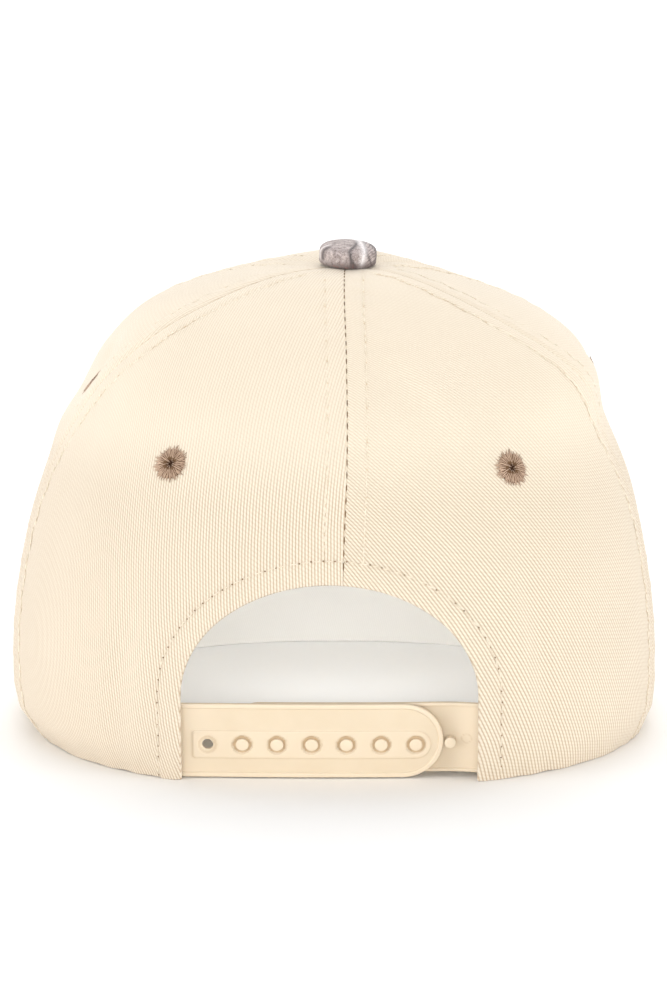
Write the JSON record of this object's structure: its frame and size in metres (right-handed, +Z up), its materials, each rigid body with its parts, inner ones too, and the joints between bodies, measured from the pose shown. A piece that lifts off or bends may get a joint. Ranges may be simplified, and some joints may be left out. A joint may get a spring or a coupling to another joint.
{
  "type": "trucker hat",
  "caption": "Cream twill trucker hat with a flat brim, sewn panels, stitched vent eyelets, a covered top button and a snap strap under the back arch.",
  "frame": {"origin": "middle of the footprint of crown and brim, on the surface that the hat stands on", "axes": "+Z up through the button, -Y towards the brim, +Y towards the snap strap, +X the wearer's left"},
  "size_m": [0.1841, 0.249, 0.1363],
  "materials": {
    "cream_twill": "matte cotton twill",
    "pale_band": "matte cotton tape",
    "printed_cloth": "matte printed cotton",
    "brown_thread": "embroidery thread, slight sheen",
    "cream_plastic": "satin moulded plastic"
  },
  "bodies": {
    "root": {"front_panel": "cream_twill", "side_panel_left": "cream_twill", "side_panel_right": "cream_twill", "back_panel_left": "cream_twill", "back_panel_right": "cream_twill", "brim": "cream_twill", "sweatband": "pale_band", "button": "printed_cloth", "eyelet_back_left": "brown_thread", "eyelet_back_right": "brown_thread", "eyelet_side_left": "brown_thread", "eyelet_side_right": "brown_thread", "strap_with_holes": "cream_plastic", "strap_with_pegs": "cream_plastic"}
  },
  "joints": []
}
